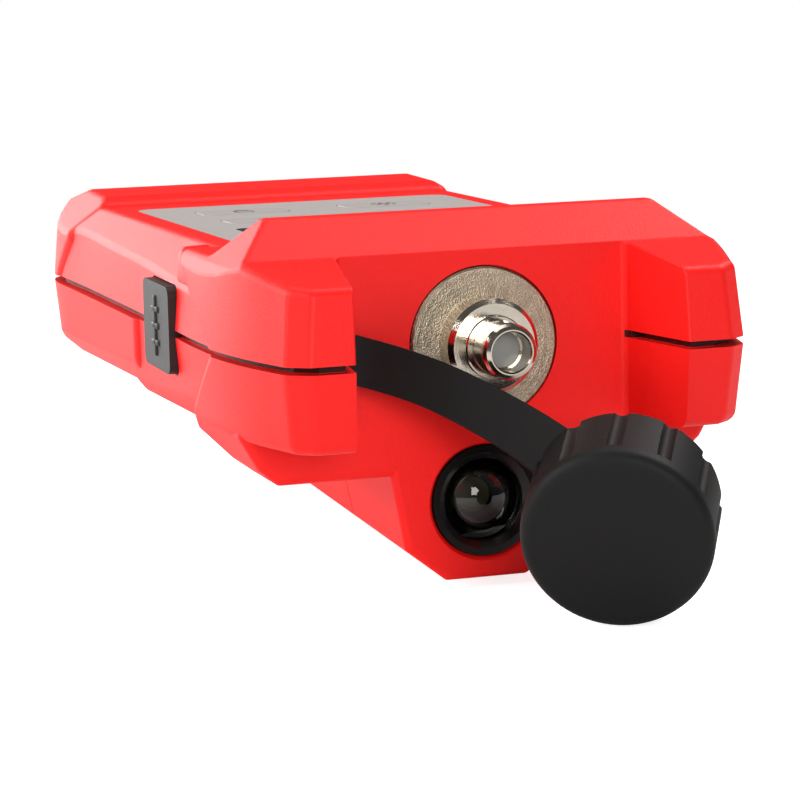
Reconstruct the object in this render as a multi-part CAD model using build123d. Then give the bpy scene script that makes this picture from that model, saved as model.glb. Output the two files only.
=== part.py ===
from build123d import *
import math
import os

os.makedirs("parts", exist_ok=True)

# Handheld visual fault locator, all sizes in millimetres.
# Drawn in the frame of the parting line between the two shells: x across,
# y back along the body from the tips of the two horns, z up from the parting
# line. Every part is moved to the row frame only when it is written.
WALL = 2.2
STEP = 0.8                 # the waist stands back from the head and the tail
DRAFT = 0.09               # the sides lean in by this much for each unit of height
SOFT = 2.0                 # rounding of the shells' outer edges
FIT = 0.25                 # clearance around loose parts and covers
GROOVE_HEIGHT = 1.1        # open groove along the parting line
GROOVE_DEPTH = 1.2

# The battery sets the length of the hump and of the body.
CELL_R, CELL_LEN, CELL_Y0, CELL_Z = 9.2, 65.0, 46.0, -18.3
HUMP_END = CELL_Y0 + CELL_LEN + 21.0
BODY_LENGTH = HUMP_END + 16.0

# Plan outline of the body, right half, from the horn tip to the tail.
HORN_TIP = (32.0, 0.0)
SIDE = [(34.9, 2.4), (37.5, 13.2), (39.1, 27.6), (38.9, 47.0), (38.0, BODY_LENGTH - 76),
        (37.4, BODY_LENGTH - 48), (37.1, BODY_LENGTH - 23), (36.5, BODY_LENGTH - 11),
        (33.6, BODY_LENGTH - 4), (27.0, BODY_LENGTH - 0.8), (15.0, BODY_LENGTH)]

# Notch between the horns, where the optical port is guarded.
RECESS_Y = 17.15
RECESS_HALF = 22.5
MOUTH_HALF = 25.2
RECESS_SOFT = 0.3

# Heights of the upper shell along the body.
HORN_TOP = 11.0
RECESS_TOP = 13.8
RIDGE_Y, RIDGE_Z, RIDGE_HALF = 25.1, 19.1, 30.4
PANEL_Z, PANEL_EDGE = 13.4, 31.5
BUMPER_Y, BUMPER_Z, BUMPER_HALF = BODY_LENGTH - 30.5, 15.4, 30.0
WAIST_BAND = 6.0           # upright band of the waist above the parting line

# Depths of the lower shell, all below the parting line.
HORN_BOTTOM = 12.2
HEAD_BOTTOM = 19.0
TRAY_BOTTOM = 13.5
REAR_Y = 74.0              # the lower rear body starts behind the charging cover

# Battery hump under the body: its underside rises towards the tail.
HUMP_TOP_HALF = 15.4
HUMP_LOW_HALF, HUMP_LOW = 12.6, 29.9
HUMP_FOOT_HALF, HUMP_FOOT = 6.3, 35.0
HUMP_RISE = 0.0563
FOOT_MID_Y = (RECESS_Y + HUMP_END) / 2
FOOT_MID_Z = -HUMP_FOOT + HUMP_RISE * (FOOT_MID_Y - RECESS_Y)

# Front panel, window and keys.
PANEL_HALF, PANEL_Y0, PANEL_Y1, PANEL_T = 27.7, 34.5, BODY_LENGTH - 35.5, 1.0
WINDOW_HALF, WINDOW_Y0, WINDOW_Y1 = 22.0, 41.0, 71.0
KEY_W, KEY_L, KEY_R = 15.0, 8.0, 2.0
KEY_X = (-12.5, 12.5)
KEY_Y = (83.0, 99.0)
KEY_PROUD = 0.1
KEY_TRAVEL = 0.4
KEY_FLANGE = 1.2
SWITCH_TOP = 8.0

# Circuit board, held on four posts of the lower shell.
BOARD_Z, BOARD_T = 1.9, 1.6
BOARD_HALF, BOARD_Y0, BOARD_Y1 = 34.0, 24.0, BODY_LENGTH - 10
POSTS = [(-30.0, 33.0), (30.0, 33.0), (-29.0, BODY_LENGTH - 19), (29.0, BODY_LENGTH - 19)]
POST_R, SCREW_R, SCREW_HEAD_R, SCREW_HEAD_T = 3.2, 1.2, 2.3, 1.6
SCREW_SEAT_Z = -9.0

# Optical port on the parting line.
FLANGE_R, FLANGE_T, FLANGE_PROUD = 11.3, 1.3, 0.25
COLLAR_R, COLLAR_LEN = 6.97, 4.55
BASE_R, BASE_LEN = 4.65, 5.3
TUBE_R, TUBE_LEN = 4.09, 11.7
BORE_R, BORE_DEPTH = 2.9, 4.0
LIGHT_R, LIGHT_T = 2.7, 0.6      # seat of the clear disc below the bore
BARREL_R, BARREL_END = 5.0, 27.0
NUT_AF, NUT_T = 13.0, 2.6
EMITTER_R, EMITTER_LEN = 4.2, 11.0

# Torch in the front of the hump.
TORCH_Z, TORCH_R, LENS_R = -23.4, 8.2, 6.1
TORCH_DEPTH = 9.0

# Charging socket on the left side and its rubber cover.
USB_Y0, USB_Y1, USB_Z0, USB_Z1 = 49.5, 67.0, -6.3, 7.1
USB_PROUD, USB_SEAT = 0.9, 1.2
PLUG_HALF_Y, PLUG_HALF_Z, PLUG_LEN = 3.1, 0.7, 2.6
MOUTH_HALF_Y, MOUTH_HALF_Z = 4.2, 1.35
SOCKET_LEN, SOCKET_SHEET = 7.0, 0.35

# Battery door in the foot of the hump.
DOOR_Y0, DOOR_Y1, DOOR_TOP = CELL_Y0 - 4, CELL_Y0 + CELL_LEN + 10, -22.5
DOOR_SCREW_Y = DOOR_Y1 - 4.5

# Dust cap on its flat strap.
CAP_FACE = (5.0, -20.0, -23.5)
CAP_DIR = (-0.47, -0.84, -0.27)
CAP_R, CAP_LEN, CAP_SOFT, CAP_FLUTES = 13.5, 13.9, 1.8, 12
FLUTE_R, FLUTE_DEPTH = 1.2, 0.75
CAP_BORE_R, CAP_BORE_DEPTH = 7.2, 11.0
STRAP_T, STRAP_H = 2.6, 7.0
STRAP_Y = 14.2
ANCHOR_X, ANCHOR_T, ANCHOR_HALF = -31.0, 3.0, 3.2


def prism(face, z0, z1):
    """Raise a plan face from z0 to z1."""
    return extrude(Pos(0, 0, z0) * face, amount=z1 - z0, dir=(0, 0, 1))


def across(points, half=50.0):
    """Side profile of (y, z) points, as wide as the body."""
    wire = Polyline(*[(-half, y, z) for y, z in points], close=True)
    return extrude(make_face(wire), amount=2 * half, dir=(1, 0, 0))


def along(points, y0=-5.0, y1=155.0):
    """Cross-section of (x, z) points, mirrored and run along the body."""
    both = points + [(-x, z) for x, z in reversed(points)]
    wire = Polyline(*[(x, y0, z) for x, z in both], close=True)
    return extrude(make_face(wire), amount=y1 - y0, dir=(0, 1, 0))


def slab(x, y, z, radius=0.0):
    """Block between pairs of limits, with rounded corners in plan."""
    block = Box(x[1] - x[0], y[1] - y[0], z[1] - z[0])
    if radius:
        block = fillet(block.edges().filter_by(Axis.Z), radius)
    return Pos((x[0] + x[1]) / 2, (y[0] + y[1]) / 2, (z[0] + z[1]) / 2) * block


def rod(radius, y0, y1, x=0.0, z=0.0):
    """Round bar along the body."""
    turn = Location((x, (y0 + y1) / 2, z), (90, 0, 0))
    return turn * Cylinder(radius, y1 - y0)


def post(radius, z0, z1, x, y):
    """Round bar standing up."""
    return Pos(x, y, (z0 + z1) / 2) * Cylinder(radius, z1 - z0)


def soften(shape, radius):
    """Round every outer edge that is clear of the parting plane."""
    edges = [e for e in shape.edges() if abs(e.center().Z) > 0.3 and e.length > 0.05]
    return fillet(edges, radius)


def plan(inset):
    """Outline of the body in plan, stood in by inset."""
    side = []
    for x, y in SIDE:
        shift = inset if y < 10 else (-inset if y > BODY_LENGTH - 8 else 0)
        side.append((x - inset, y + shift))
    tip = (HORN_TIP[0] - inset, HORN_TIP[1] + inset)
    right = Polyline((0, inset), tip, side[0])
    right += Spline(*side, tangents=((0.25, 1), (-1, 0)))
    right += Polyline(side[-1], (0, BODY_LENGTH - inset), (0, inset))
    half = make_face(right.edges())
    return half + mirror(half, Plane.YZ)


def bulk(inset, height):
    """The plan outline raised or sunk from the parting plane with draft."""
    far = Pos(0, 0, height) * plan(inset + DRAFT * abs(height))
    return loft([plan(inset), far], ruled=True)


def upper_head(t):
    """Horns and ridge: the chamfer ahead of the ridge falls to the horns."""
    form = bulk(t, 22.0) & along([(41, -1), (41, 5), (37.4 - t, 12.6 - t / 2),
                                  (RIDGE_HALF - t, RIDGE_Z - t)])
    back = PANEL_Z - t
    return form & across([(t, -1), (t, HORN_TOP - t), (RECESS_Y + t / 2, RECESS_TOP - t),
                          (RIDGE_Y + t / 3, RIDGE_Z - t), (27.5 - t / 3, RIDGE_Z - t),
                          (33.5, back), (51.0, back), (28.0, 0), (28.0, -1)])


def upper_waist(t):
    """Panel surround: an upright band and one broad slope up to the panel."""
    form = bulk(t + STEP, 22.0) & along([(41, -1), (41, WAIST_BAND - 3 - t / 2),
                                         (38.6 - t, WAIST_BAND + 0.5 - t / 2),
                                         (PANEL_EDGE - t, PANEL_Z - t)])
    y1 = BODY_LENGTH - 10
    return form & across([(26, -1), (26, PANEL_Z - t), (y1, PANEL_Z - t), (y1, -1)])


def upper_tail(t):
    """Raised tail: its front slope climbs from the panel to the bumper."""
    form = bulk(t, 22.0) & along([(41, -1), (41, 3.0), (38.2 - t, 7.0 - t / 2),
                                  (BUMPER_HALF - t, BUMPER_Z - t)])
    end = BODY_LENGTH - t
    return form & across([(end - 15, -1), (end - 15, 0), (BUMPER_Y, PANEL_Z - t),
                          (BUMPER_Y + 6, BUMPER_Z - 0.4 - t), (BUMPER_Y + 18.5, BUMPER_Z - t),
                          (BODY_LENGTH - 3.5 - t, BUMPER_Z - 2.4 - t), (end + 1, 7), (end + 1, -1)])


def upper_form(t):
    """Upper body above the parting line: sharp inside, rounded outside."""
    if t:
        return upper_head(t) + upper_waist(t) + upper_tail(t)
    head = soften(upper_head(0), 0.75 * SOFT)
    return head + soften(upper_waist(0), SOFT) + soften(upper_tail(0), SOFT)


def hump_form(t):
    """Battery hump, narrowing downwards, its foot rising to the tail."""
    def section(y, rise):
        low = -HUMP_LOW + rise + 0.6 * t
        foot = -HUMP_FOOT + rise + t
        half = [(HUMP_TOP_HALF - t, -6), (HUMP_TOP_HALF - t, -14.4),
                (HUMP_LOW_HALF - t, low), (HUMP_FOOT_HALF - 0.3 * t, foot)]
        both = half + [(-x, z) for x, z in reversed(half)]
        return make_face(Polyline(*[(x, y, z) for x, z in both], close=True))
    y0, y1 = RECESS_Y + t, HUMP_END - t
    ends = [section(y0, HUMP_RISE * t), section(y1, HUMP_RISE * (y1 - RECESS_Y))]
    return loft(ends, ruled=True)


def lower_horns(t):
    """Lower halves of the horns and the head down to the horns' underside."""
    return bulk(t, -22.0) & across([(t, 1), (t, -HORN_BOTTOM + t), (44.3, -HORN_BOTTOM + t),
                                    (28.0, 0), (28.0, 1)])


def lower_throat(t):
    """Deeper part of the head behind the horns, up against the hump."""
    form = bulk(t, -22.0) & along([(37.4 - t, -5), (37.4 - t, -11.5), (34.6 - t, -16.4 + t / 2),
                                   (31.5 - t, -HEAD_BOTTOM + t)])
    return form & across([(RECESS_Y + t, -5), (RECESS_Y + t, -HEAD_BOTTOM + t),
                          (27.0, -HEAD_BOTTOM + 1 + t), (46.0, -TRAY_BOTTOM + t), (35.0, -5)])


def lower_waist(t):
    """Neck of the lower body, where the charging cover sits."""
    form = bulk(t + STEP, -22.0) & along([(41, 1), (41, -4), (38.4 - t, -8.0),
                                          (34.0 - t, -TRAY_BOTTOM + t)])
    y1 = REAR_Y + 10
    return form & across([(26, 1), (26, -TRAY_BOTTOM + t), (y1, -TRAY_BOTTOM + t), (y1, 1)])


def lower_rear(t):
    """Rear of the lower body, leaning in under the tail."""
    form = bulk(t, -22.0) & along([(41, 1), (39.2 - t, 0), (36.8 - t, -8.5),
                                   (32.0 - t, -TRAY_BOTTOM + t)])
    end = BODY_LENGTH + 1 - t
    return form & across([(REAR_Y, 1), (REAR_Y, 0), (REAR_Y + 5, -TRAY_BOTTOM + t),
                          (end - 13, -TRAY_BOTTOM + t), (end, -8.5 + t), (end, 1)])


def lower_form(t):
    """Lower body below the parting line: sharp inside, rounded outside."""
    if t:
        return lower_horns(t) + lower_throat(t) + lower_waist(t) + lower_rear(t) + hump_form(t)
    throat = lower_throat(0)
    low = [e for e in throat.edges() if e.center().Z < -6]
    body = soften(lower_horns(0), SOFT) + fillet(low, 0.6 * SOFT)
    body += soften(lower_waist(0), SOFT) + soften(lower_rear(0), SOFT)
    foot = [e for e in hump_form(0).edges() if e.center().Z < -14]
    return body + fillet(foot, SOFT / 2)


def carved(form):
    """Cut the notch between the horns and round the edges that it leaves."""
    body = form - notch(0)
    corners = [e for e in body.edges().filter_by(Axis.Z) if abs(e.center().Y - RECESS_Y) < 0.1
               and abs(abs(e.center().X) - RECESS_HALF) < 0.1 and abs(e.center().Z) < RECESS_TOP]
    body = fillet(corners, 1.0)
    edges = []
    for e in body.edges():
        c = e.center()
        wall = abs(c.Y - RECESS_Y) < 0.1 and abs(c.X) < RECESS_HALF - 0.9
        horn = c.Y < RECESS_Y and RECESS_HALF < abs(c.X) < MOUTH_HALF + 0.1
        if (wall or horn) and c.Z > 0.3 and e.length > 0.3:
            edges.append(e)
    return fillet(edges, RECESS_SOFT) if edges else body


def notch(t):
    """Space between the horns, grown by t."""
    wire = Polyline((-MOUTH_HALF - t, -3), (MOUTH_HALF + t, -3), (MOUTH_HALF + t, 0),
                    (RECESS_HALF + t, RECESS_Y + t), (-RECESS_HALF - t, RECESS_Y + t),
                    (-MOUTH_HALF - t, 0), close=True)
    return prism(make_face(wire), -45, 25)


def parting_groove():
    """Open groove round the outside and along the inner faces of the horns."""
    ring = prism(plan(-1), -GROOVE_HEIGHT / 2, GROOVE_HEIGHT / 2)
    core = prism(plan(STEP + GROOVE_DEPTH), -GROOVE_HEIGHT, GROOVE_HEIGHT)
    horns = notch(GROOVE_DEPTH) & slab((-50, 50), (-5, RECESS_Y - 1.5),
                                       (-GROOVE_HEIGHT / 2, GROOVE_HEIGHT / 2))
    return ring - core + horns


def cover_block(grow, z_grow):
    """Rounded block over the charging socket, through the left wall."""
    block = Box(10, USB_Y1 - USB_Y0 + 2 * grow, USB_Z1 - USB_Z0 + 2 * z_grow)
    block = fillet(block.edges().filter_by(Axis.X), 1.6 + grow)
    return Pos(-38, (USB_Y0 + USB_Y1) / 2, (USB_Z0 + USB_Z1) / 2) * block


def cover_seat():
    """Shallow seat for the rubber cover in both shells."""
    return cover_block(FIT, FIT) - prism(plan(STEP + USB_SEAT), -20, 20)


USB_Y = (USB_Y0 + USB_Y1) / 2
SOCKET_FACE = 35.4


def usb_mouth():
    """Opening in the left wall in front of the charging socket."""
    return slab((-42, -SOCKET_FACE + 1), (USB_Y - MOUTH_HALF_Y, USB_Y + MOUTH_HALF_Y),
                (-MOUTH_HALF_Z - 0.3, MOUTH_HALF_Z + 0.3))


def strap_slot():
    """Slot in the left horn where the strap is held between the shells."""
    return slab((ANCHOR_X - 1, -21), (STRAP_Y - STRAP_T / 2 - 0.15, STRAP_Y + STRAP_T / 2 + 0.15),
                (-STRAP_H / 2 - 0.3, STRAP_H / 2 + 0.3))


def port_hole():
    """Round seat for the port flange and the hole for its barrel."""
    seat = rod(FLANGE_R + 0.2, RECESS_Y - 2, RECESS_Y - FLANGE_PROUD + FLANGE_T)
    return seat + rod(BARREL_R + 0.2, RECESS_Y - 2, RECESS_Y + 6)


def upper_shell():
    """Top half: hollow, with the panel seat, window, key holes and bosses."""
    body = carved(upper_form(0)) - (upper_form(WALL) - notch(WALL))
    body -= parting_groove()
    for x, y in POSTS:
        boss = post(POST_R, BOARD_Z + BOARD_T, PANEL_Z - WALL + 0.1, x, y)
        body += boss - post(SCREW_R - 0.15, 0, 9, x, y)
    body -= slab((-PANEL_HALF - 0.15, PANEL_HALF + 0.15), (PANEL_Y0 - 0.15, PANEL_Y1 + 0.15),
                 (PANEL_Z - PANEL_T, PANEL_Z + 9), 3.0)
    body -= slab((-WINDOW_HALF + 1.5, WINDOW_HALF - 1.5), (WINDOW_Y0 + 1.5, WINDOW_Y1 - 1.5),
                 (PANEL_Z - 5, PANEL_Z), 1.0)
    for x, y in key_places():
        body -= key_block(x, y, FIT, PANEL_Z - 5, PANEL_Z + 1)
    return body - port_hole() - cover_seat() - usb_mouth() - strap_slot()


def screw_seat(x, y):
    """Counterbored hole from below for one housing screw."""
    return post(SCREW_R + 0.2, -30, 5, x, y) + post(SCREW_HEAD_R + 0.3, -30, SCREW_SEAT_Z, x, y)


def battery_bay():
    """Opening under the hump that the battery door closes."""
    return slab((-20, 20), (DOOR_Y0, DOOR_Y1), (-45, DOOR_TOP))


def lower_shell():
    """Bottom half: hollow, with posts for the board and the battery hump."""
    inner = lower_form(WALL) - notch(WALL)
    body = carved(lower_form(0)) - inner
    body -= parting_groove()
    core = lower_form(WALL / 2)
    for x, y in POSTS:
        body += post(POST_R + 0.6, -HEAD_BOTTOM, 0, x, y) & core
        body += post(POST_R + 0.6, -1, BOARD_Z, x, y)
        body -= screw_seat(x, y)
    ledge = slab((-11, 11), (DOOR_Y1, DOOR_Y1 + 6), (DOOR_TOP - 1.5, DOOR_TOP + 1.2))
    body += ledge & core
    body -= battery_bay()
    bar = slab((-5, 5), (DOOR_SCREW_Y - 3.5, DOOR_Y1 + 2), (DOOR_TOP + FIT, DOOR_TOP + 5.5))
    body += bar - post(SCREW_R - 0.15, -40, 0, 0, DOOR_SCREW_Y)
    body -= rod(TORCH_R + 0.15, RECESS_Y - 2, RECESS_Y + 6, z=TORCH_Z)
    sink = Location((0, RECESS_Y, TORCH_Z), (90, 0, 0))
    body -= sink * Cone(TORCH_R + 0.15, TORCH_R + 1.3, 1.6)
    return body - port_hole() - cover_seat() - usb_mouth() - strap_slot()


def battery_door():
    """Foot of the hump: lifts off for the cell, tongues ahead, screw behind."""
    hump = hump_form(0) - hump_form(WALL)
    door = hump & slab((-20, 20), (DOOR_Y0 + FIT, DOOR_Y1 - FIT), (-45, DOOR_TOP - FIT))
    low = -HUMP_FOOT + WALL + HUMP_RISE * (DOOR_Y0 - RECESS_Y)
    for x in (-3.4, 3.4):
        side = (x - 1.5, x + 1.5)
        door += slab(side, (DOOR_Y0 - 3, DOOR_Y0 + 5), (low + 0.4, low + 2.0))
        door += slab(side, (DOOR_Y0 + 1, DOOR_Y0 + 5), (low - 1, low + 0.5))
    foot = -HUMP_FOOT + HUMP_RISE * (DOOR_SCREW_Y - RECESS_Y)
    door += post(3.6, foot + 1, DOOR_TOP, 0, DOOR_SCREW_Y)
    door -= post(SCREW_R + 0.2, -45, -10, 0, DOOR_SCREW_Y)
    return door - post(SCREW_HEAD_R + 0.3, -45, foot + 2.4, 0, DOOR_SCREW_Y)


def pan_screw(length):
    """Cross-recess pan screw, head down, shank up from z = 0."""
    shank = Pos(0, 0, length / 2) * Cylinder(SCREW_R - 0.15, length)
    head = Pos(0, 0, -SCREW_HEAD_T / 2) * Cylinder(SCREW_HEAD_R, SCREW_HEAD_T)
    head = fillet(head.edges().sort_by(Axis.Z)[0], 0.7)
    slot = Box(2.6, 0.6, 1.6) + Box(0.6, 2.6, 1.6)
    return shank + head - Pos(0, 0, -SCREW_HEAD_T) * slot


def battery_door_screw():
    foot = -HUMP_FOOT + HUMP_RISE * (DOOR_SCREW_Y - RECESS_Y)
    return Pos(0, DOOR_SCREW_Y, foot + 2.4) * pan_screw(DOOR_TOP + 5 - foot - 2.4)


def housing_screws():
    group = [Pos(x, y, SCREW_SEAT_Z) * pan_screw(17.5) for x, y in POSTS]
    return Compound(children=group)


def key_places():
    return [(x, y) for y in KEY_Y for x in KEY_X]


def key_block(x, y, grow, z0, z1):
    """Rounded column of one key, grown by a clearance."""
    return slab((x - KEY_W / 2 - grow, x + KEY_W / 2 + grow),
                (y - KEY_L / 2 - grow, y + KEY_L / 2 + grow), (z0, z1), KEY_R + grow)


def key(x, y):
    """Key with a retaining flange below the shell and a plunger."""
    under = PANEL_Z - WALL
    cap = key_block(x, y, 0, under - 1.2, PANEL_Z + KEY_PROUD)
    cap = fillet(cap.edges().filter_by(Plane.XY).group_by(Axis.Z)[-1], 0.2)
    flange = key_block(x, y, KEY_FLANGE, under - 1.2, under - 0.1)
    return cap + flange + post(1.6, SWITCH_TOP + KEY_TRAVEL + 0.1, under - 1, x, y)


def key_switches():
    """Low tact switches on the board, one under each key."""
    base = BOARD_Z + BOARD_T
    group = []
    for x, y in key_places():
        case = slab((x - 3, x + 3), (y - 3, y + 3), (base, SWITCH_TOP - 0.8))
        group.append(case + post(1.7, SWITCH_TOP - 0.9, SWITCH_TOP, x, y))
    return Compound(children=group)


def front_panel():
    """Grey label plate, open over the display and the keys."""
    plate = slab((-PANEL_HALF, PANEL_HALF), (PANEL_Y0, PANEL_Y1), (PANEL_Z - PANEL_T, PANEL_Z), 3.0)
    plate -= slab((-WINDOW_HALF - 0.1, WINDOW_HALF + 0.1), (WINDOW_Y0 - 0.1, WINDOW_Y1 + 0.1),
                  (PANEL_Z - 3, PANEL_Z + 3), 1.5)
    for x, y in key_places():
        plate -= key_block(x, y, FIT, PANEL_Z - 3, PANEL_Z + 3)
    return plate


def display_window():
    return slab((-WINDOW_HALF, WINDOW_HALF), (WINDOW_Y0, WINDOW_Y1), (PANEL_Z - PANEL_T, PANEL_Z), 1.4)


def lcd_module():
    """Display glass in its frame, standing on the board."""
    base = BOARD_Z + BOARD_T
    frame = slab((-WINDOW_HALF - 2, WINDOW_HALF + 2), (WINDOW_Y0 - 2, WINDOW_Y1 + 3), (base, 9.6), 1.0)
    glass = slab((-WINDOW_HALF + 1, WINDOW_HALF - 1), (WINDOW_Y0 + 1, WINDOW_Y1 - 1), (9.5, 10.9))
    return frame + glass


def circuit_board():
    """Board between the posts, notched for the port barrel."""
    board = slab((-BOARD_HALF, BOARD_HALF), (BOARD_Y0, BOARD_Y1), (BOARD_Z, BOARD_Z + BOARD_T), 4.0)
    board &= prism(plan(WALL + STEP + 0.4), 0, 10)
    board -= slab((-8, 8), (BOARD_Y0 - 1, BARREL_END + EMITTER_LEN + 1), (0, 10), 1.5)
    for x, y in POSTS:
        board -= post(SCREW_R + 0.3, 0, 10, x, y)
    return board


def port_flange():
    """Thin washer of the port, seated in the front wall."""
    y0 = RECESS_Y - FLANGE_PROUD
    washer = rod(FLANGE_R, y0, y0 + FLANGE_T) - rod(BARREL_R + 0.05, y0 - 1, y0 + 3)
    return chamfer(washer.edges().group_by(Axis.Y)[0].sort_by(SortBy.RADIUS)[-1], 0.3)


def port_adapter():
    """Turned adapter: collar, base ring, tube with a rounded rim, barrel."""
    face = RECESS_Y - FLANGE_PROUD
    collar, ring, tip = RECESS_Y - COLLAR_LEN, RECESS_Y - BASE_LEN, RECESS_Y - TUBE_LEN
    wire = Polyline((0, BARREL_END), (BARREL_R, BARREL_END), (BARREL_R, face), (COLLAR_R, face),
                    (COLLAR_R, collar + 0.7), (COLLAR_R - 0.7, collar), (BASE_R, collar),
                    (BASE_R, ring + 0.2), (BASE_R - 0.2, ring), (TUBE_R, ring),
                    (TUBE_R, tip + 1.0), (TUBE_R - 0.3, tip + 0.3), (TUBE_R - 0.8, tip),
                    (BORE_R + 0.2, tip), (BORE_R, tip + 0.3), (BORE_R, tip + BORE_DEPTH),
                    (LIGHT_R, tip + BORE_DEPTH), (LIGHT_R, tip + BORE_DEPTH + LIGHT_T),
                    (0, tip + BORE_DEPTH + LIGHT_T), close=True)
    turned = revolve(make_face(wire), Axis.Y)
    return turned - rod(1.3, tip, BARREL_END + 1)


def port_window():
    """Clear disc at the bottom of the adapter's bore."""
    y0 = RECESS_Y - TUBE_LEN + BORE_DEPTH
    return rod(LIGHT_R - 0.05, y0, y0 + LIGHT_T)


def port_nut():
    """Hexagonal nut that clamps the wall between itself and the flange."""
    face = RECESS_Y + WALL
    outline = make_face(RegularPolygon(NUT_AF / 2, 6, major_radius=False).edges())
    nut = Location((0, face + NUT_T, 0), (90, 0, 0)) * extrude(outline, amount=NUT_T, dir=(0, 0, 1))
    return nut - rod(BARREL_R + 0.05, face - 1, face + NUT_T + 1)


def laser_module():
    """Light source pressed on the back of the barrel, with its leads."""
    body = rod(EMITTER_R, BARREL_END, BARREL_END + EMITTER_LEN - 2)
    body += rod(EMITTER_R + 0.6, BARREL_END + 2, BARREL_END + 3.2)
    for x in (-1.27, 1.27):
        body += rod(0.3, BARREL_END + 8, BARREL_END + EMITTER_LEN + 0.6, x=x)
    return body


def torch_bezel():
    """Black cup behind the countersunk hole in the hump."""
    y0 = RECESS_Y + 0.3
    cup = rod(TORCH_R, y0, y0 + TORCH_DEPTH) - rod(LENS_R + 0.05, y0 - 1, y0 + TORCH_DEPTH - 1.2)
    lip = Location((0, y0 + 0.5, TORCH_Z), (90, 0, 0)) * Cone(LENS_R, LENS_R + 1.2, 1.2)
    cup = Pos(0, 0, TORCH_Z) * cup
    return cup - lip


def torch_lens():
    """Domed lens with a rim that sits in the bezel."""
    y0 = RECESS_Y + 2.3
    bulge = Pos(0, y0 + 3.9, TORCH_Z) * Sphere(6.2)
    dome = bulge & rod(LENS_R - 0.5, RECESS_Y - 3, y0 + 0.1, z=TORCH_Z)
    return dome + rod(LENS_R, y0, y0 + 1.6, z=TORCH_Z)


def torch_reflector():
    """Conical reflector behind the lens."""
    y0 = RECESS_Y + 2.3 + 1.6
    wire = Polyline((LENS_R - 0.05, y0), (LENS_R - 0.05, y0 + 3.6), (1.9, y0 + 3.6),
                    (1.9, y0 + 3.2), (LENS_R - 0.7, y0), close=True)
    return Pos(0, 0, TORCH_Z) * revolve(make_face(wire), Axis.Y)


def torch_lamp():
    """Lamp on its small round board at the bottom of the bezel."""
    y1 = RECESS_Y + 0.3 + TORCH_DEPTH
    lamp = rod(1.7, y1 - 4.0, y1 - 1.2, z=TORCH_Z)
    disc = rod(5.0, y1, y1 + 1.2, z=TORCH_Z)
    return lamp, disc


def usb_cover():
    """Rubber cover: a plate that follows the side, and its plug."""
    skin = prism(plan(STEP - USB_PROUD), -20, 20) - prism(plan(STEP + USB_SEAT), -20, 20)
    plate = cover_block(0, 0) & skin
    plug = slab((-SOCKET_FACE - 1.5, -SOCKET_FACE - 1.5 + PLUG_LEN),
                (USB_Y - PLUG_HALF_Y, USB_Y + PLUG_HALF_Y), (-PLUG_HALF_Z, PLUG_HALF_Z))
    return plate + plug


def usb_socket():
    """Sheet metal charging socket under the left edge of the board."""
    y = (USB_Y - MOUTH_HALF_Y - SOCKET_SHEET, USB_Y + MOUTH_HALF_Y + SOCKET_SHEET)
    body = slab((-SOCKET_FACE + 0.6, -SOCKET_FACE + 0.6 + SOCKET_LEN), y,
                (BOARD_Z - 2 * MOUTH_HALF_Z - 2 * SOCKET_SHEET, BOARD_Z))
    inner = slab((-SOCKET_FACE, -SOCKET_FACE + SOCKET_LEN - 1),
                 (USB_Y - MOUTH_HALF_Y, USB_Y + MOUTH_HALF_Y), (-MOUTH_HALF_Z, MOUTH_HALF_Z))
    tongue = slab((-SOCKET_FACE + 3, -SOCKET_FACE + SOCKET_LEN),
                  (USB_Y - 3.3, USB_Y + 3.3), (-0.3, 0.3))
    return (body - inner) + tongue


def battery_cell():
    """Round lithium cell with a raised plus end."""
    can = rod(CELL_R, CELL_Y0, CELL_Y0 + CELL_LEN - 1.4, z=CELL_Z)
    can = fillet(can.edges(), 0.6)
    return can + rod(3.2, CELL_Y0 + CELL_LEN - 2, CELL_Y0 + CELL_LEN, z=CELL_Z)


def battery_contacts():
    """Spring leaf and plate contacts at the ends of the cell."""
    back = CELL_Y0 + CELL_LEN
    plus = slab((-4, 4), (back, back + 0.5), (CELL_Z - 5, BOARD_Z))
    minus = slab((-4, 4), (CELL_Y0 - 0.5, CELL_Y0), (CELL_Z - 5, BOARD_Z))
    return Compound(children=[plus, minus])


def ribbon(points, width):
    """Plan face of constant width along a smooth run of points."""
    return trace(Spline(*points), width)


def strap():
    """Flat strap: its plan bend crossed with its fall towards the cap."""
    bend = [(-31.4, STRAP_Y), (-27.0, STRAP_Y), (-22.0, STRAP_Y), (-15.2, 10.7),
            (-10.5, 7.2), (-5.8, 3.6), (-1.1, -0.4), (2.6, -5.0), (5.2, -9.0)]
    fall = [(-33.0, 0.0), (-30.0, 0.0), (-27.0, 0.0), (-24.0, 0.0), (-20.5, -0.8),
            (-15.2, -2.5), (-10.5, -4.5), (-5.8, -7.2), (-1.1, -10.4), (2.6, -13.6), (7.5, -17.5)]
    seen_above = prism(ribbon(bend, STRAP_T), -30, 10)
    seen_ahead = extrude(Plane.XZ * ribbon(fall, STRAP_H), amount=60, both=True)
    return seen_above & seen_ahead


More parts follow.
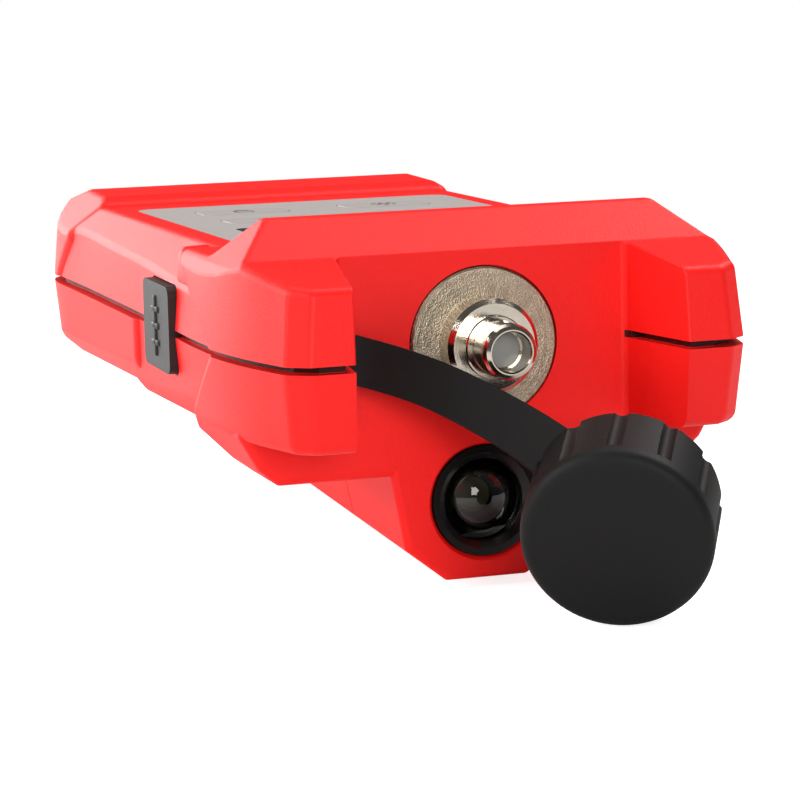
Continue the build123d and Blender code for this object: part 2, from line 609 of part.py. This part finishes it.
def dust_cap():
    """Rubber cap with wide flutes, moulded with its strap and anchor."""
    wire = Polyline((0, 0), (CAP_R, 0), (CAP_R, CAP_LEN), (CAP_BORE_R, CAP_LEN),
                    (CAP_BORE_R, CAP_LEN - CAP_BORE_DEPTH), (0, CAP_LEN - CAP_BORE_DEPTH),
                    close=True)
    cap = revolve(make_face(wire), Axis.Y)
    rims = cap.edges().filter_by(GeomType.CIRCLE).sort_by(SortBy.RADIUS)[-2:].sort_by(Axis.Y)
    cap = fillet(rims[0], CAP_SOFT)
    cap = fillet(cap.edges().filter_by(GeomType.CIRCLE).group_by(Axis.Y)[-1].sort_by(SortBy.RADIUS)[-1], 0.8)
    pitch = 360 / CAP_FLUTES
    for i in range(CAP_FLUTES):
        groove = rod(FLUTE_R, CAP_SOFT + 1.0, CAP_LEN + 1, x=CAP_R + FLUTE_R - FLUTE_DEPTH)
        cap -= Rot(0, pitch * i, 0) * groove
    back = Vector(*CAP_DIR).normalized() * -1
    up = Vector(0, 0, 1)
    side = back.cross(up).normalized()
    seat = Plane(origin=CAP_FACE, x_dir=side, z_dir=side.cross(back))
    cap = seat.location * cap
    bore = seat.location * rod(CAP_BORE_R, CAP_LEN - CAP_BORE_DEPTH, CAP_LEN + 30)
    anchor = slab((ANCHOR_X - ANCHOR_T, ANCHOR_X),
                  (STRAP_Y - ANCHOR_HALF, STRAP_Y + ANCHOR_HALF), (-STRAP_H / 2, STRAP_H / 2))
    return cap + (strap() - bore) + anchor


def write(name, shape):
    """Move a part to the row frame, centred on the resting face, and write it."""
    placed = Pos(0, -FOOT_MID_Y, -FOOT_MID_Z) * shape
    placed.label = name
    export_step(placed, f"parts/{name}.step")


write("upper_shell", upper_shell())
write("lower_shell", lower_shell())
write("battery_door", battery_door())
write("battery_door_screw", battery_door_screw())
write("housing_screws", housing_screws())
write("front_panel", front_panel())
write("display_window", display_window())
write("lcd_module", lcd_module())
write("circuit_board", circuit_board())
write("key_switches", key_switches())
for key_name, (key_x, key_y) in zip(("key_power", "key_wave", "key_hold", "key_torch"), key_places()):
    write(key_name, key(key_x, key_y))
write("port_flange", port_flange())
write("port_adapter", port_adapter())
write("port_window", port_window())
write("port_nut", port_nut())
write("laser_module", laser_module())
write("torch_bezel", torch_bezel())
write("torch_lens", torch_lens())
write("torch_reflector", torch_reflector())
lamp, lamp_board = torch_lamp()
write("torch_lamp", lamp)
write("torch_board", lamp_board)
write("usb_cover", usb_cover())
write("usb_socket", usb_socket())
write("battery_cell", battery_cell())
write("battery_contacts", battery_contacts())
write("dust_cap", dust_cap())
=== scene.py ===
import math

import bmesh
import bpy
import numpy as np
from mathutils import Matrix, Vector


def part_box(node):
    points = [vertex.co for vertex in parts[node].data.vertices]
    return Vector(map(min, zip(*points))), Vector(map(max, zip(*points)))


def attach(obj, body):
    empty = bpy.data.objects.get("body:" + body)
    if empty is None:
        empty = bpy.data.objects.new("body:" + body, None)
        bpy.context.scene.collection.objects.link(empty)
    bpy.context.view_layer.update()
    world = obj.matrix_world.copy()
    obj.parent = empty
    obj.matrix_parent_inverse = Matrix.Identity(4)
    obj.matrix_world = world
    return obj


# The measured locator comes in with all its parts in place, in metres: x across the body,
# y from the optical port back to the tail, z up from the foot of the battery hump.
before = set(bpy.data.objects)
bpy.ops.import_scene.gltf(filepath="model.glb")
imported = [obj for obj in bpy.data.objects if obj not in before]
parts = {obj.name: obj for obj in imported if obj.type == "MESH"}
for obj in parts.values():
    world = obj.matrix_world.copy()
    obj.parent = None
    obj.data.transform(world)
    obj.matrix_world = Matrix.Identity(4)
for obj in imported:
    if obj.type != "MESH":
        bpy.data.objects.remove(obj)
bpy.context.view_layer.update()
MM = 0.001
FOOT_Y = 74.575        # the row's origin, behind the horn tips
PARTING_Z = 31.767     # the parting line's height above the foot


def place(x, y, z):
    """Millimetres from the horn tips on the parting line, as metres in the row."""
    return Vector((x * MM, (y - FOOT_Y) * MM, (z + PARTING_Z) * MM))


# The photograph's view: a long lens from low in front and a little to the left.
lens = bpy.data.cameras.new("view_camera")
lens.sensor_width = 36.0
FOCAL_PIXELS, PICTURE_PIXELS = 3201.5, 800.0
lens.lens = lens.sensor_width * FOCAL_PIXELS / PICTURE_PIXELS
lens.clip_start = 0.01
lens.clip_end = 20.0
view_camera = bpy.data.objects.new("view_camera", lens)
turn, lift, roll = math.radians(-18.76), math.radians(8.58), math.radians(-1.32)
back = Vector((math.sin(turn) * math.cos(lift), -math.cos(turn) * math.cos(lift), math.sin(lift)))
right = Vector((math.cos(turn), math.sin(turn), 0.0))
up = back.cross(right)
right, up = (right * math.cos(roll) + up * math.sin(roll),
             up * math.cos(roll) - right * math.sin(roll))
stand = Matrix((right, up, back)).transposed().to_4x4()
stand.translation = place(-160.83, -417.77, 61.82)
view_camera.matrix_world = stand
scene = bpy.context.scene
scene.collection.objects.link(view_camera)
scene.camera = view_camera
scene.view_settings.view_transform = "Standard"

# A plain white room and table top, with large soft boxes at the left, above and in front,
# as small products are photographed. What the camera sees of the room is pure white.
room = bpy.data.worlds.new("white_room")
room.use_nodes = True
scene.world = room
air = room.node_tree
air.nodes.clear()
seen = air.nodes.new("ShaderNodeBackground")
seen.inputs["Color"].default_value = (1, 1, 1, 1)
fill = air.nodes.new("ShaderNodeBackground")
fill.inputs["Color"].default_value = (1, 1, 1, 1)
fill.inputs["Strength"].default_value = 0.10
ray = air.nodes.new("ShaderNodeLightPath")
either = air.nodes.new("ShaderNodeMath")
either.operation = "MAXIMUM"
air.links.new(ray.outputs["Is Camera Ray"], either.inputs[0])
air.links.new(ray.outputs["Is Transmission Ray"], either.inputs[1])
pick = air.nodes.new("ShaderNodeMixShader")
air.links.new(either.outputs[0], pick.inputs["Fac"])
air.links.new(fill.outputs[0], pick.inputs[1])
air.links.new(seen.outputs[0], pick.inputs[2])
air_out = air.nodes.new("ShaderNodeOutputWorld")
air.links.new(pick.outputs[0], air_out.inputs["Surface"])


def soft_box(name, spot, target, width, height, watts):
    """Rectangular studio light aimed at a point of the object."""
    light = bpy.data.lights.new(name, "AREA")
    light.shape = "RECTANGLE"
    light.size, light.size_y = width, height
    light.energy = watts
    lamp = bpy.data.objects.new(name, light)
    lamp.location = spot
    lamp.rotation_euler = (Vector(target) - Vector(spot)).to_track_quat("-Z", "Y").to_euler()
    scene.collection.objects.link(lamp)


soft_box("left_box", (-0.80, -0.05, 0.42), (0, 0.02, 0.03), 0.6, 0.5, 7.0)
soft_box("rear_box", (-0.45, 0.95, 0.26), (-0.02, 0.0, 0.03), 0.9, 0.5, 8.0)
soft_box("lamp_box", (0.50, 0.12, 0.62), (0, -0.05, 0.01), 0.16, 0.15, 3.2)
soft_box("top_box", (0.0, 0.10, 0.80), (0, 0, 0.0), 0.7, 0.5, 2.7)
soft_box("front_box", (-0.10, -0.95, 0.30), (0, -0.05, 0.02), 0.50, 0.35, 5.0)

table_mesh = bpy.data.meshes.new("table_top")
reach, level = 2.5, -0.0046
table_mesh.from_pydata([(-reach, -reach, level), (reach, -reach, level), (reach, reach, level),
                        (-reach, reach, level)], [], [(0, 1, 2, 3)])
table = bpy.data.objects.new("table_top", table_mesh)
scene.collection.objects.link(table)
paint = bpy.data.materials.new("white_table")
paint.use_nodes = True
net = paint.node_tree
coat = net.nodes["Principled BSDF"]
coat.inputs["Base Color"].default_value = (0.85, 0.85, 0.85, 1)
coat.inputs["Roughness"].default_value = 0.9
coat.inputs["Specular IOR Level"].default_value = 0.2
glow = net.nodes.new("ShaderNodeEmission")
glow.inputs["Color"].default_value = (1, 1, 1, 1)
ray = net.nodes.new("ShaderNodeLightPath")
gain = net.nodes.new("ShaderNodeMath")
gain.operation = "MULTIPLY"
gain.inputs[1].default_value = 0.80
net.links.new(ray.outputs["Is Camera Ray"], gain.inputs[0])
net.links.new(gain.outputs[0], glow.inputs["Strength"])
lit = net.nodes.new("ShaderNodeAddShader")
net.links.new(coat.outputs[0], lit.inputs[0])
net.links.new(glow.outputs[0], lit.inputs[1])
floor_at = net.nodes.new("ShaderNodeTexCoord")
length = net.nodes.new("ShaderNodeVectorMath")
length.operation = "LENGTH"
net.links.new(floor_at.outputs["Object"], length.inputs[0])
fade = net.nodes.new("ShaderNodeMapRange")
fade.inputs["From Min"].default_value = 0.14
fade.inputs["From Max"].default_value = 0.45
net.links.new(length.outputs["Value"], fade.inputs["Value"])
gone = net.nodes.new("ShaderNodeMath")
gone.operation = "MULTIPLY"
net.links.new(fade.outputs["Result"], gone.inputs[0])
net.links.new(ray.outputs["Is Camera Ray"], gone.inputs[1])
clear = net.nodes.new("ShaderNodeBsdfTransparent")
blend = net.nodes.new("ShaderNodeMixShader")
net.links.new(gone.outputs[0], blend.inputs["Fac"])
net.links.new(lit.outputs[0], blend.inputs[1])
net.links.new(clear.outputs[0], blend.inputs[2])
net.links.new(blend.outputs[0], net.nodes["Material Output"].inputs["Surface"])
table_mesh.materials.append(paint)


# Upper and lower shell and the battery door: moulded red plastic with a fine spark-eroded
# grain. Their edges are rounded in the mould.
def grain_group():
    """Fine moulded grain: cells of one size with a little slower unevenness."""
    group = bpy.data.node_groups.new("moulded_grain", "ShaderNodeTree")
    for name, value in (("Size", 0.0004), ("Depth", 0.2)):
        socket = group.interface.new_socket(name, in_out="INPUT", socket_type="NodeSocketFloat")
        socket.default_value = value
    group.interface.new_socket("Normal", in_out="OUTPUT", socket_type="NodeSocketVector")
    group.interface.new_socket("Value", in_out="OUTPUT", socket_type="NodeSocketFloat")
    n, l = group.nodes, group.links
    given, out = n.new("NodeGroupInput"), n.new("NodeGroupOutput")
    where = n.new("ShaderNodeTexCoord")
    rate = n.new("ShaderNodeMath")
    rate.operation = "DIVIDE"
    rate.inputs[0].default_value = 1.0
    l.new(given.outputs["Size"], rate.inputs[1])
    cells = n.new("ShaderNodeTexNoise")
    cells.inputs["Detail"].default_value = 3.0
    cells.inputs["Roughness"].default_value = 0.6
    l.new(where.outputs["Object"], cells.inputs["Vector"])
    l.new(rate.outputs[0], cells.inputs["Scale"])
    raised = n.new("ShaderNodeBump")
    raised.inputs["Distance"].default_value = 0.00009
    l.new(given.outputs["Depth"], raised.inputs["Strength"])
    l.new(cells.outputs["Fac"], raised.inputs["Height"])
    l.new(raised.outputs["Normal"], out.inputs["Normal"])
    l.new(cells.outputs["Fac"], out.inputs["Value"])
    return group


grain = grain_group()


def moulded(name, colour, rough, size, depth, spread=0.06, specular=0.5):
    """Plastic or rubber out of a textured mould: colour and gloss vary with the grain."""
    made = bpy.data.materials.new(name)
    made.use_nodes = True
    tree = made.node_tree
    skin = tree.nodes["Principled BSDF"]
    skin.inputs["Specular IOR Level"].default_value = specular
    texture = tree.nodes.new("ShaderNodeGroup")
    texture.node_tree = grain
    texture.inputs["Size"].default_value = size
    texture.inputs["Depth"].default_value = depth
    tree.links.new(texture.outputs["Normal"], skin.inputs["Normal"])
    tone = tree.nodes.new("ShaderNodeMix")
    tone.data_type = "RGBA"
    tone.inputs["A"].default_value = tuple(c * (1 - spread) for c in colour) + (1,)
    tone.inputs["B"].default_value = tuple(min(1, c * (1 + spread)) for c in colour) + (1,)
    tree.links.new(texture.outputs["Value"], tone.inputs["Factor"])
    tree.links.new(tone.outputs["Result"], skin.inputs["Base Color"])
    gloss = tree.nodes.new("ShaderNodeMapRange")
    gloss.inputs["To Min"].default_value = rough - 0.05
    gloss.inputs["To Max"].default_value = rough + 0.05
    tree.links.new(texture.outputs["Value"], gloss.inputs["Value"])
    tree.links.new(gloss.outputs["Result"], skin.inputs["Roughness"])
    return made


def finish(node, material):
    """Give a measured part its material."""
    mesh = parts[node].data
    mesh.materials.clear()
    mesh.materials.append(material)


def groove_shadow():
    """1 in the open groove of the parting line, where the groove's shade is painted, 0 elsewhere.
    """
    group = bpy.data.node_groups.new("parting_groove_shade", "ShaderNodeTree")
    group.interface.new_socket("Value", in_out="OUTPUT", socket_type="NodeSocketFloat")
    n, l = group.nodes, group.links
    out = n.new("NodeGroupOutput")
    where = n.new("ShaderNodeTexCoord")
    split = n.new("ShaderNodeSeparateXYZ")
    l.new(where.outputs["Object"], split.inputs["Vector"])

    def step(kind, first, second):
        made = n.new("ShaderNodeMath")
        made.operation = kind
        for slot, given in enumerate((first, second)):
            if isinstance(given, float):
                made.inputs[slot].default_value = given
            elif given is not None:
                l.new(given, made.inputs[slot])
        return made.outputs[0]

    height = step("SUBTRACT", split.outputs["Z"], (PARTING_Z + 0.033) * MM)
    near_line = step("LESS_THAN", step("ABSOLUTE", height, None), 0.53 * MM)
    beside = step("GREATER_THAN", step("ABSOLUTE", split.outputs["X"], None), 22.2 * MM)
    behind = step("GREATER_THAN", split.outputs["Y"], (20.0 - FOOT_Y) * MM)
    l.new(step("MULTIPLY", near_line, step("MAXIMUM", beside, behind)), out.inputs["Value"])
    return group


shell_red = moulded("shell_red_plastic", (0.84, 0.008, 0.006), 0.46, 0.00035, 0.5, 0.06, 0.23)
# Painted shade: in the parting groove the shell's colour is mixed to near black, standing in for
# the shadow that falls into it.
tree = shell_red.node_tree
shade = tree.nodes.new("ShaderNodeGroup")
shade.node_tree = groove_shadow()
groove_painted_shade = tree.nodes.new("ShaderNodeMix")
groove_painted_shade.data_type = "RGBA"
groove_painted_shade.inputs["B"].default_value = (0.035, 0.0015, 0.001, 1)
tree.links.new(shade.outputs["Value"], groove_painted_shade.inputs["Factor"])
skin = tree.nodes["Principled BSDF"]
tree.links.new(skin.inputs["Base Color"].links[0].from_socket, groove_painted_shade.inputs["A"])
tree.links.new(groove_painted_shade.outputs["Result"], skin.inputs["Base Color"])
for node in ("upper_shell", "lower_shell", "battery_door"):
    finish(node, shell_red)

# Fairings: on each side the head's flank runs out rearwards and comes down to the slope
# beside the panel in a soft point, moulded in one with the upper shell.
FAIRING = [(36.2, 40.0, 8.6), (37.25, 43.0, 7.6), (37.2, 50.0, 7.7), (36.55, 51.2, 12.0),
           (35.9, 51.0, 13.1), (31.7, 51.0, 13.3), (33.4, 60.5, 11.3), (31.2, 45.0, 12.0)]
for side, hand in (("right", 1), ("left", -1)):
    bm = bmesh.new()
    for x, y, z in FAIRING:
        bm.verts.new(place(x * hand, y, z))
    bmesh.ops.convex_hull(bm, input=bm.verts)
    bmesh.ops.dissolve_limit(bm, angle_limit=0.02, verts=bm.verts, edges=bm.edges)
    bmesh.ops.bevel(bm, geom=bm.edges[:], offset=0.45 * MM, segments=3, profile=0.5,
                    affect="EDGES", clamp_overlap=True)
    bmesh.ops.recalc_face_normals(bm, faces=bm.faces)
    mesh = bpy.data.meshes.new("fairing_" + side)
    bm.to_mesh(mesh)
    bm.free()
    mesh.materials.append(shell_red)
    mesh.shade_smooth()
    fairing = bpy.data.objects.new("fairing_" + side, mesh)
    scene.collection.objects.link(fairing)
    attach(fairing, "housing")

# Front panel, display window and keys: a satin grey film with soft grey keys flush in it,
# and a clear window over the grey display.
panel_grey = moulded("panel_film", (0.38, 0.35, 0.335), 0.45, 0.0006, 0.10, 0.02, 0.2)
finish("front_panel", panel_grey)
key_grey = moulded("key_silicone", (0.34, 0.315, 0.30), 0.55, 0.0004, 0.15, 0.03, 0.2)
for node in ("key_power", "key_wave", "key_hold", "key_torch"):
    finish(node, key_grey)


def clear_part(name, tint, rough, ior=1.49):
    """Clear plastic or glass with a slight tint."""
    made = bpy.data.materials.new(name)
    made.use_nodes = True
    skin = made.node_tree.nodes["Principled BSDF"]
    skin.inputs["Base Color"].default_value = tint
    skin.inputs["Roughness"].default_value = rough
    skin.inputs["Transmission Weight"].default_value = 1.0
    skin.inputs["IOR"].default_value = ior
    return made


finish("display_window", clear_part("display_acrylic", (0.92, 0.94, 0.93, 1), 0.03))
finish("lcd_module", moulded("display_grey", (0.36, 0.40, 0.36), 0.35, 0.002, 0.02, 0.03))


# Optical port: a washer and an adapter turned from brass and nickel plated. The faces show
# the fine rings of the lathe tool. The washer's face is given a darker nickel colour than the
# adapter's brighter side: painted shade, for the dark surroundings the face reflects.
def turned_metal(name, colour, rough, rings, wear, coarse=0.35):
    """Nickel plate over turned brass: rings about the port axis and a mottled tone."""
    made = bpy.data.materials.new(name)
    made.use_nodes = True
    tree = made.node_tree
    n, l = tree.nodes, tree.links
    skin = n["Principled BSDF"]
    skin.inputs["Metallic"].default_value = 1.0
    where = n.new("ShaderNodeTexCoord")
    centre = n.new("ShaderNodeMapping")
    centre.inputs["Location"].default_value = (0, 0, -PARTING_Z * MM)
    l.new(where.outputs["Object"], centre.inputs["Vector"])
    flat = n.new("ShaderNodeVectorMath")
    flat.operation = "MULTIPLY"
    flat.inputs[1].default_value = (1, 0.25, 1)
    l.new(centre.outputs["Vector"], flat.inputs[0])
    far = n.new("ShaderNodeVectorMath")
    far.operation = "LENGTH"
    l.new(flat.outputs["Vector"], far.inputs[0])
    lathe = n.new("ShaderNodeTexNoise")
    lathe.noise_dimensions = "1D"
    lathe.inputs["Scale"].default_value = 3000.0
    lathe.inputs["Detail"].default_value = 2.0
    l.new(far.outputs["Value"], lathe.inputs["W"])
    pits = n.new("ShaderNodeTexNoise")
    pits.inputs["Scale"].default_value = 4200.0
    pits.inputs["Detail"].default_value = 4.0
    l.new(where.outputs["Object"], pits.inputs["Vector"])
    both = n.new("ShaderNodeMath")
    both.operation = "MULTIPLY_ADD"
    both.inputs[1].default_value = rings
    l.new(lathe.outputs["Fac"], both.inputs[0])
    l.new(pits.outputs["Fac"], both.inputs[2])
    raised = n.new("ShaderNodeBump")
    raised.inputs["Strength"].default_value = coarse
    raised.inputs["Distance"].default_value = 0.00012
    l.new(both.outputs[0], raised.inputs["Height"])
    l.new(raised.outputs["Normal"], skin.inputs["Normal"])
    blotch = n.new("ShaderNodeTexNoise")
    blotch.inputs["Scale"].default_value = 500.0
    blotch.inputs["Detail"].default_value = 5.0
    l.new(where.outputs["Object"], blotch.inputs["Vector"])
    tone = n.new("ShaderNodeMix")
    tone.data_type = "RGBA"
    tone.inputs["A"].default_value = tuple(c * (1 - wear) for c in colour) + (1,)
    tone.inputs["B"].default_value = tuple(min(1, c * (1 + wear)) for c in colour) + (1,)
    l.new(blotch.outputs["Fac"], tone.inputs["Factor"])
    l.new(tone.outputs["Result"], skin.inputs["Base Color"])
    gloss = n.new("ShaderNodeMapRange")
    gloss.inputs["To Min"].default_value = rough - 0.08
    gloss.inputs["To Max"].default_value = rough + 0.08
    l.new(pits.outputs["Fac"], gloss.inputs["Value"])
    l.new(gloss.outputs["Result"], skin.inputs["Roughness"])
    return made


# Painted shade: the washer's nickel colour is darker than the adapter's, standing in for the dark
# reflection on its face.
finish("port_flange", turned_metal("washer_nickel", (0.34, 0.28, 0.205), 0.32, 0.35, 0.4, 1.0))
finish("port_adapter", turned_metal("adapter_nickel", (0.55, 0.49, 0.41), 0.13, 0.6, 0.15, 0.1))
finish("port_window", moulded("port_disc", (0.24, 0.235, 0.22), 0.3, 0.001, 0.1, 0.04))
brass = turned_metal("turned_brass", (0.72, 0.50, 0.22), 0.3, 0.6, 0.1)
for node in ("port_nut", "laser_module"):
    finish(node, brass)

# Torch: a black bezel sunk in the hump, a clear domed lens and a small reflector and lamp
# behind it, dark while the torch is off.
torch_black = moulded("torch_black", (0.004, 0.004, 0.004), 0.25, 0.0005, 0.05, 0.06, 0.35)
finish("torch_bezel", torch_black)
finish("torch_lens", clear_part("torch_glass", (0.25, 0.24, 0.22, 1), 0.015, 1.5))
finish("torch_reflector", moulded("reflector_dark", (0.02, 0.018, 0.015), 0.2, 0.0008, 0.05))
finish("torch_lamp", moulded("lamp_dome", (0.35, 0.33, 0.22), 0.2, 0.001, 0.02))

# Dust cap with its strap and the cover of the charging socket: black moulded rubber, matt
# with a soft sheen at grazing light.
rubber = moulded("black_rubber", (0.0055, 0.0052, 0.005), 0.58, 0.0005, 0.25, 0.1, 0.18)
finish("dust_cap", rubber)
cover_rubber = moulded("cover_rubber", (0.016, 0.015, 0.014), 0.5, 0.0005, 0.25, 0.1, 0.3)
finish("usb_cover", cover_rubber)

# Symbols on the keys: a thin layer of ink printed on the silicone, one sign to a key and
# moving with it: power, wave for the modulated light, lock for hold, and the torch's lamp.
ink = moulded("key_ink", (0.13, 0.12, 0.12), 0.6, 0.0003, 0.1, 0.08, 0.3)
KEY_TOP = 13.5


def arc(cx, cy, radius, start, end, steps=28):
    """Points of a circular stroke, in millimetres about the key's centre."""
    angles = np.radians(np.linspace(start, end, steps))
    return [(cx + radius * math.cos(a), cy + radius * math.sin(a)) for a in angles]


def printed_sign(name, key, body, strokes, width=0.55):
    """Flat strokes of ink on a key's top face, joined to one mesh."""
    low, high = (Vector(corner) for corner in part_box(key))
    middle = (low + high) / 2
    top = place(0, 0, KEY_TOP).z
    bm = bmesh.new()
    for stroke in strokes:
        line = [Vector((p[0] * MM, p[1] * MM, 0)) for p in stroke]
        rows = []
        for i, point in enumerate(line):
            ahead = line[min(i + 1, len(line) - 1)] - line[max(i - 1, 0)]
            side = Vector((-ahead.y, ahead.x, 0)).normalized() * (width * MM / 2)
            at = Vector((middle.x, middle.y, 0)) + point
            rows.append([bm.verts.new((at + side * k).to_tuple()[:2] + (z,))
                         for k, z in ((-1, top - 0.05 * MM), (-0.9, top + 0.03 * MM),
                                      (0.9, top + 0.03 * MM), (1, top - 0.05 * MM))])
        for a, b in zip(rows, rows[1:]):
            for k in range(4):
                bm.faces.new((a[k], b[k], b[(k + 1) % 4], a[(k + 1) % 4]))
        bm.faces.new(rows[0])
        bm.faces.new(rows[-1][::-1])
    bmesh.ops.recalc_face_normals(bm, faces=bm.faces)
    mesh = bpy.data.meshes.new(name)
    bm.to_mesh(mesh)
    bm.free()
    mesh.materials.append(ink)
    sign = bpy.data.objects.new(name, mesh)
    scene.collection.objects.link(sign)
    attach(sign, body)


wave = [(x, 1.0 * math.sin(x * math.pi / 1.6)) for x in np.linspace(-3.2, 3.2, 60)]
rays = [[(1.5 * math.cos(a), 1.5 * math.sin(a)), (2.3 * math.cos(a), 2.3 * math.sin(a))]
        for a in np.radians(np.arange(0, 360, 45))]
printed_sign("power_sign", "key_power", "key_power_body",
             [arc(0, -0.2, 1.7, 125, 415, 40), [(0, 0.3), (0, 2.1)]])
printed_sign("wave_sign", "key_wave", "key_wave_body", [wave])
printed_sign("hold_sign", "key_hold", "key_hold_body",
             [[(-1.5, -1.8), (1.5, -1.8), (1.5, 0.3), (-1.5, 0.3), (-1.5, -1.8)],
              [(-0.95, 0.3)] + arc(0, 0.95, 0.95, 180, 0, 18) + [(0.95, 0.3)]])
printed_sign("torch_sign", "key_torch", "key_torch_body", [arc(0, 0, 0.85, 0, 360, 30)] + rays)

# Grip on the socket's cover: a rib down the middle and short ribs across it, moulded in the
# rubber so that a fingernail lifts the cover. The short ribs repeat at an even spacing.
cover_low, cover_high = (Vector(corner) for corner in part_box("usb_cover"))
cover_mid = (cover_low + cover_high) / 2
skin_x = place(-38.55, 0, 0).x
RIB_PITCH = 2.6 * MM


def rubber_bar(name, long_y, long_z, z):
    """Bar with rounded edges, sunk a little into the cover's face."""
    bm = bmesh.new()
    bmesh.ops.create_cube(bm, size=1.0)
    bmesh.ops.scale(bm, vec=(0.8 * MM, long_y * MM, long_z * MM), verts=bm.verts)
    bmesh.ops.bevel(bm, geom=bm.edges[:], offset=0.3 * MM, segments=3, profile=0.5,
                    affect="EDGES")
    bmesh.ops.translate(bm, vec=(skin_x, cover_mid.y, z), verts=bm.verts)
    mesh = bpy.data.meshes.new(name)
    bm.to_mesh(mesh)
    bm.free()
    mesh.materials.append(cover_rubber)
    mesh.shade_smooth()
    bar = bpy.data.objects.new(name, mesh)
    scene.collection.objects.link(bar)
    return bar


ribs = bpy.data.node_groups.new("grip_ribs", "GeometryNodeTree")
ribs.interface.new_socket("Geometry", in_out="INPUT", socket_type="NodeSocketGeometry")
count_in = ribs.interface.new_socket("Count", in_out="INPUT", socket_type="NodeSocketInt")
space_in = ribs.interface.new_socket("Spacing", in_out="INPUT", socket_type="NodeSocketFloat")
ribs.interface.new_socket("Geometry", in_out="OUTPUT", socket_type="NodeSocketGeometry")
given, ribs_out = ribs.nodes.new("NodeGroupInput"), ribs.nodes.new("NodeGroupOutput")
step_up = ribs.nodes.new("ShaderNodeCombineXYZ")
row = ribs.nodes.new("GeometryNodeMeshLine")
row.mode = "OFFSET"
each = ribs.nodes.new("GeometryNodeInstanceOnPoints")
whole = ribs.nodes.new("GeometryNodeRealizeInstances")
coat = ribs.nodes.new("GeometryNodeSetMaterial")
coat.inputs["Material"].default_value = cover_rubber
ribs.links.new(given.outputs["Spacing"], step_up.inputs["Z"])
ribs.links.new(given.outputs["Count"], row.inputs["Count"])
ribs.links.new(step_up.outputs["Vector"], row.inputs["Offset"])
ribs.links.new(row.outputs["Mesh"], each.inputs["Points"])
ribs.links.new(given.outputs["Geometry"], each.inputs["Instance"])
ribs.links.new(each.outputs["Instances"], whole.inputs["Geometry"])
ribs.links.new(whole.outputs["Geometry"], coat.inputs["Geometry"])
ribs.links.new(coat.outputs["Geometry"], ribs_out.inputs["Geometry"])
short_ribs = rubber_bar("cover_short_ribs", 4.2, 1.0, cover_mid.z - RIB_PITCH)
made = short_ribs.modifiers.new("ribs", "NODES")
made.node_group = ribs
made[count_in.identifier] = 3
made[space_in.identifier] = RIB_PITCH
bpy.context.view_layer.update()
seen_now = short_ribs.evaluated_get(bpy.context.evaluated_depsgraph_get())
baked = bpy.data.meshes.new_from_object(seen_now)
short_ribs.modifiers.clear()
short_ribs.data = baked
long_rib = rubber_bar("cover_long_rib", 1.1, 9.4, cover_mid.z)
for bar in (short_ribs, long_rib):
    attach(bar, "usb_cover_body")

# Inside: board, switches, torch board, charging socket, cell, contacts and screws.
board_green = moulded("board_lacquer", (0.01, 0.13, 0.05), 0.3, 0.001, 0.1)
for node in ("circuit_board", "torch_board"):
    finish(node, board_green)
finish("key_switches", torch_black)
finish("battery_cell", moulded("cell_wrap", (0.03, 0.12, 0.35), 0.3, 0.002, 0.02))


def plain_metal(name, colour, rough):
    """Rolled or plated steel with fine scratches of varying gloss."""
    made = bpy.data.materials.new(name)
    made.use_nodes = True
    tree = made.node_tree
    skin = tree.nodes["Principled BSDF"]
    skin.inputs["Metallic"].default_value = 1.0
    skin.inputs["Base Color"].default_value = colour
    where = tree.nodes.new("ShaderNodeTexCoord")
    streak = tree.nodes.new("ShaderNodeTexNoise")
    streak.inputs["Scale"].default_value = 1500.0
    tree.links.new(where.outputs["Object"], streak.inputs["Vector"])
    gloss = tree.nodes.new("ShaderNodeMapRange")
    gloss.inputs["To Min"].default_value = rough - 0.08
    gloss.inputs["To Max"].default_value = rough + 0.1
    tree.links.new(streak.outputs["Fac"], gloss.inputs["Value"])
    tree.links.new(gloss.outputs["Result"], skin.inputs["Roughness"])
    return made


steel = plain_metal("plated_steel", (0.60, 0.60, 0.61, 1), 0.3)
for node in ("usb_socket", "battery_contacts", "battery_door_screw", "housing_screws"):
    finish(node, steel)
